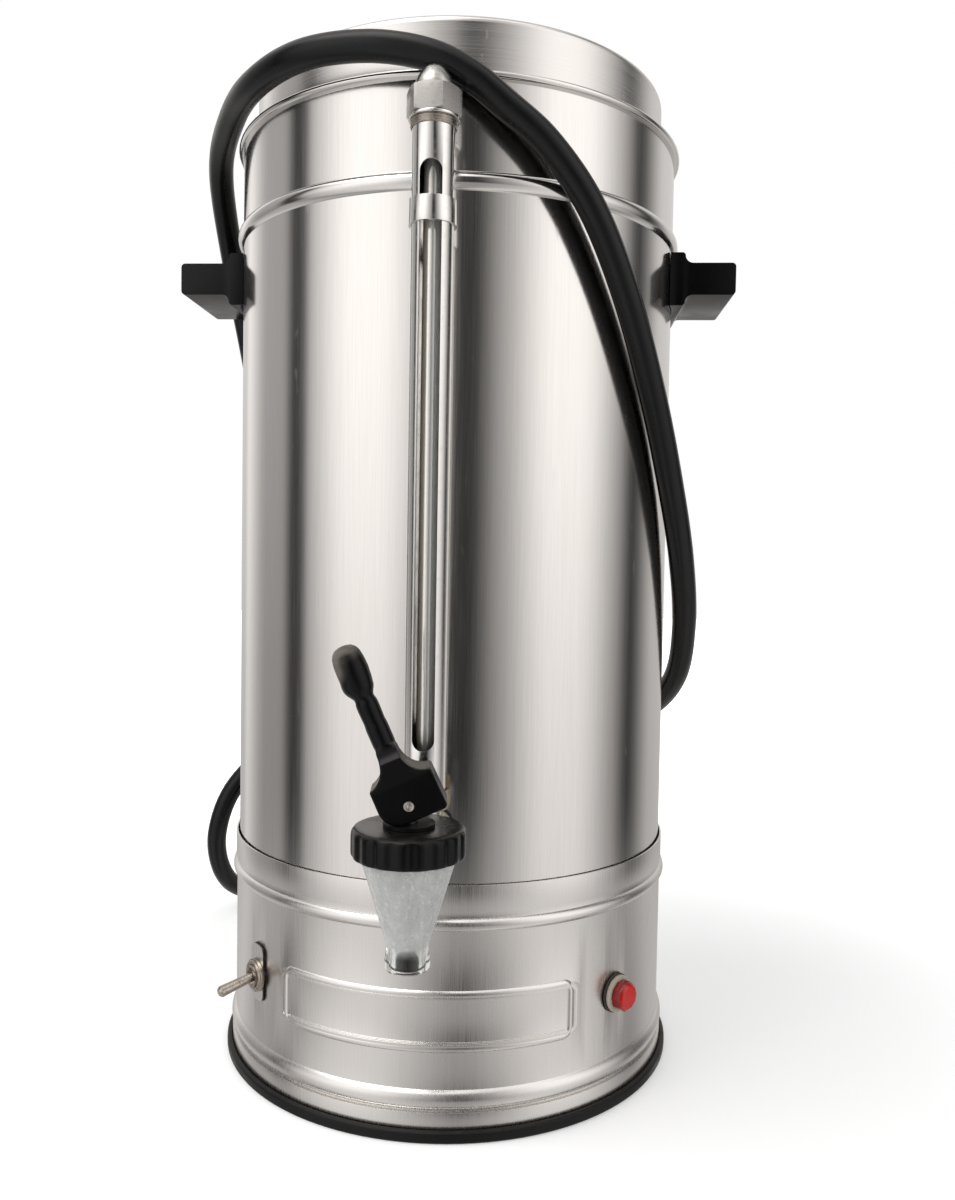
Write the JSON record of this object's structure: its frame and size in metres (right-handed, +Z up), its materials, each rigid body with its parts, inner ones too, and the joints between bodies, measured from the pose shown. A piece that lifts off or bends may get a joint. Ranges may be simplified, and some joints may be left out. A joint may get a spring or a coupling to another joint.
{
  "type": "coffee urn",
  "caption": "Tall brushed steel coffee urn with a drum base, slotted level gauge, self-closing tap, side grips, toggle, pilot lamp and supply cord.",
  "frame": {"origin": "centre of the foot ring's underside, on the surface the urn stands on", "axes": "+Z up along the tank axis, -Y towards the tap and gauge, +X to the right as seen from the front"},
  "size_m": [0.3305, 0.4532, 0.5233],
  "materials": {
    "brushed_shell": "vertical brushed satin",
    "lid_steel": "spun satin",
    "bright_steel": "polished",
    "nickel": "worn nickel plate",
    "inner_steel": "mill finish",
    "black_bakelite": "moulded, softly glossy",
    "black_washer": "matt",
    "rubber_foot": "matt",
    "rubber_seal": "matt",
    "silicone": "soft",
    "gauge_glass": "clear, tea stained",
    "clear_plastic": "cloudy translucent",
    "brass": "dulled",
    "element": "heat darkened",
    "ceramic": "matt",
    "phenolic": "matt",
    "lamp_cream": "moulded",
    "lamp_red": "translucent red",
    "cord_black": "matt, dusty"
  },
  "bodies": {
    "urn": {"base_ring": "rubber_foot", "bottom_plate": "inner_steel", "base_screws": "nickel", "base_shell": "brushed_shell", "body_shell": "brushed_shell", "tank_floor": "inner_steel", "heating_element": "element", "thermostat": "phenolic", "thermal_fuse": "ceramic", "terminal_block": "ceramic", "coffee_basket": "inner_steel", "basket_floor": "inner_steel", "basket_tube": "inner_steel", "basket_cover": "inner_steel", "pump_stem": "inner_steel", "left_handle": "black_bakelite", "right_handle": "black_bakelite", "handle_screws": "nickel", "gauge_glass": "gauge_glass", "gauge_guard": "bright_steel", "gauge_band": "bright_steel", "gauge_band_nut": "nickel", "gauge_cap_nut": "bright_steel", "gauge_top_seal": "rubber_seal", "gauge_bottom_seal": "rubber_seal", "gauge_bottom_nut": "brass", "tap_shank": "nickel", "shank_washer": "rubber_seal", "shank_nut": "nickel", "tap_body": "clear_plastic", "tap_bonnet": "black_bakelite", "tap_spring": "nickel", "switch_body": "nickel", "switch_nut": "nickel", "switch_plate": "nickel", "lamp_bezel": "lamp_cream", "lamp_gasket": "rubber_seal", "lamp_lens": "lamp_red", "lamp_nut": "nickel", "cord_gland": "rubber_seal", "gland_nut": "rubber_seal", "cord": "cord_black", "plug_body": "cord_black", "plug_pins": "nickel"},
    "lid": {"lid": "lid_steel", "lid_knob": "black_bakelite", "lid_knob_screw": "nickel"},
    "tap_swivel": {"slip_washer": "black_washer"},
    "tap_stem": {"tap_stem": "nickel", "seat_cup": "silicone"},
    "tap_lever": {"tap_lever": "black_bakelite", "lever_pin": "nickel"},
    "toggle": {"switch_bat": "nickel"}
  },
  "joints": [
    {"name": "lid_lift", "type": "slide", "parent": "urn", "child": "lid", "axis": [0, 0, 1], "range_m": [0, 0.12]},
    {"name": "tap_swivel", "type": "hinge", "parent": "urn", "child": "tap_swivel", "pos_m": [0, -0.181, 0.16993], "axis": [0, 0, 1], "range_deg": [-20, 200]},
    {"name": "stem_lift", "type": "slide", "parent": "tap_swivel", "child": "tap_stem", "axis": [0, 0, 1], "range_m": [-0.00163, 0.00163], "deforming": ["tap_spring"]},
    {"name": "lever_tilt", "type": "hinge", "parent": "tap_stem", "child": "tap_lever", "pos_m": [0, -0.181, 0.16993], "axis": [0.1045, -0.9945, 0], "range_deg": [-24, 24]},
    {"name": "switch_throw", "type": "hinge", "parent": "urn", "child": "toggle", "pos_m": [-0.08794, -0.07808, 0.0559], "axis": [-0.6639, 0.7478, 0], "range_deg": [0, 28]}
  ],
  "couplings": [
    {"joint": "lever_tilt", "follows": "stem_lift", "rad_per_m": 256.41}
  ]
}
